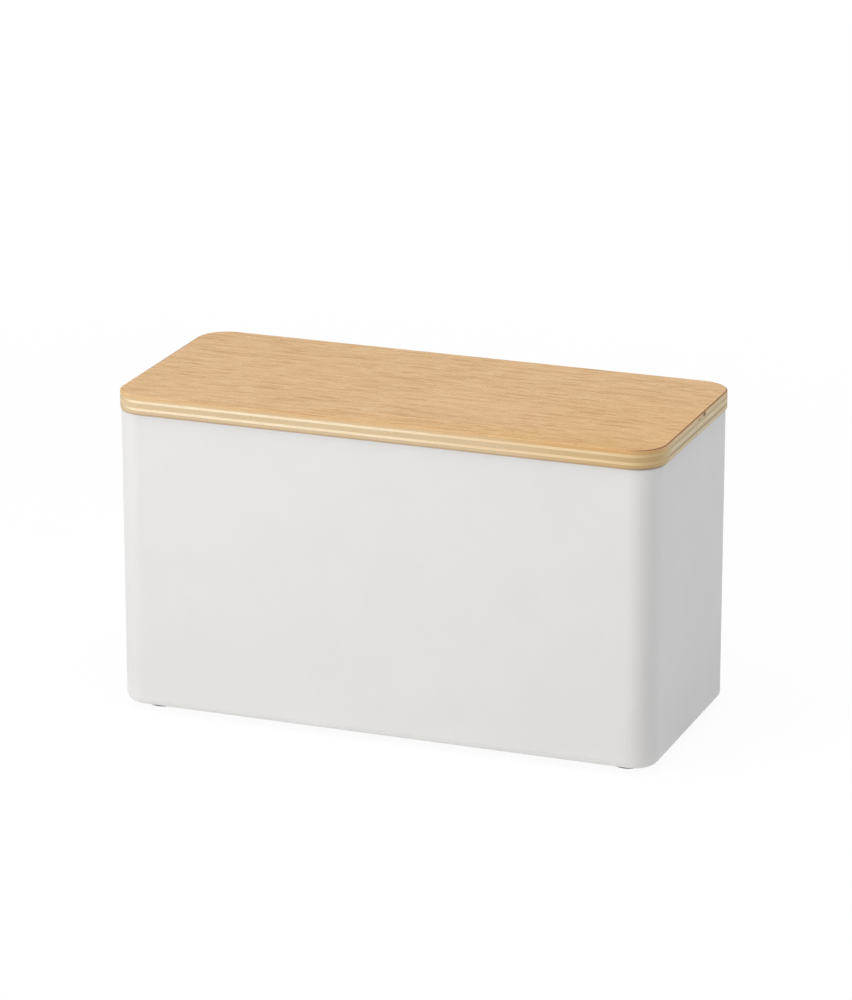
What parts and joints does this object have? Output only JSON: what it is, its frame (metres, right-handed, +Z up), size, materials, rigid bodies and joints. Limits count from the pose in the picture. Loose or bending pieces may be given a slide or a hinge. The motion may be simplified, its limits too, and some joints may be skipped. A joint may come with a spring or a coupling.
{
  "type": "storage box",
  "caption": "Rectangular storage box with a white sheet steel body, rounded corners and a flat lift-off plywood lid.",
  "frame": {"origin": "on the ground plane, under the middle of the box", "axes": "+X along the box's length, -Y is the front, +Z up"},
  "size_m": [0.2654, 0.1174, 0.155],
  "materials": {
    "steel_coated": "fine matte white powder coat",
    "foot_rubber": "matte grey rubber",
    "face_wood": "light oak veneer, matte clear coat, fine open pores along X",
    "cross_ply_wood": "plywood edge, grain along Y",
    "long_ply_wood": "pale plywood edge, grain along X",
    "locator_plastic": "moulded off-white plastic",
    "screw_steel": "zinc-plated steel"
  },
  "bodies": {
    "box": {"body_wall": "steel_coated", "floor_plate": "steel_coated", "foot_front_left": "foot_rubber", "foot_front_right": "foot_rubber", "foot_back_left": "foot_rubber", "foot_back_right": "foot_rubber"},
    "lid": {"lid_face_veneer": "face_wood", "lid_top_ply": "cross_ply_wood", "lid_upper_ply": "long_ply_wood", "lid_core_ply": "cross_ply_wood", "lid_lower_ply": "long_ply_wood", "lid_bottom_ply": "cross_ply_wood", "lid_back_veneer": "face_wood", "lid_locator_front_left": "locator_plastic", "lid_locator_front_right": "locator_plastic", "lid_locator_back_left": "locator_plastic", "lid_locator_back_right": "locator_plastic", "locator_screws": "screw_steel"}
  },
  "joints": [
    {"name": "lid_lift", "type": "slide", "parent": "box", "child": "lid", "axis": [0, 0, 1], "range_m": [0, 0.16]}
  ]
}
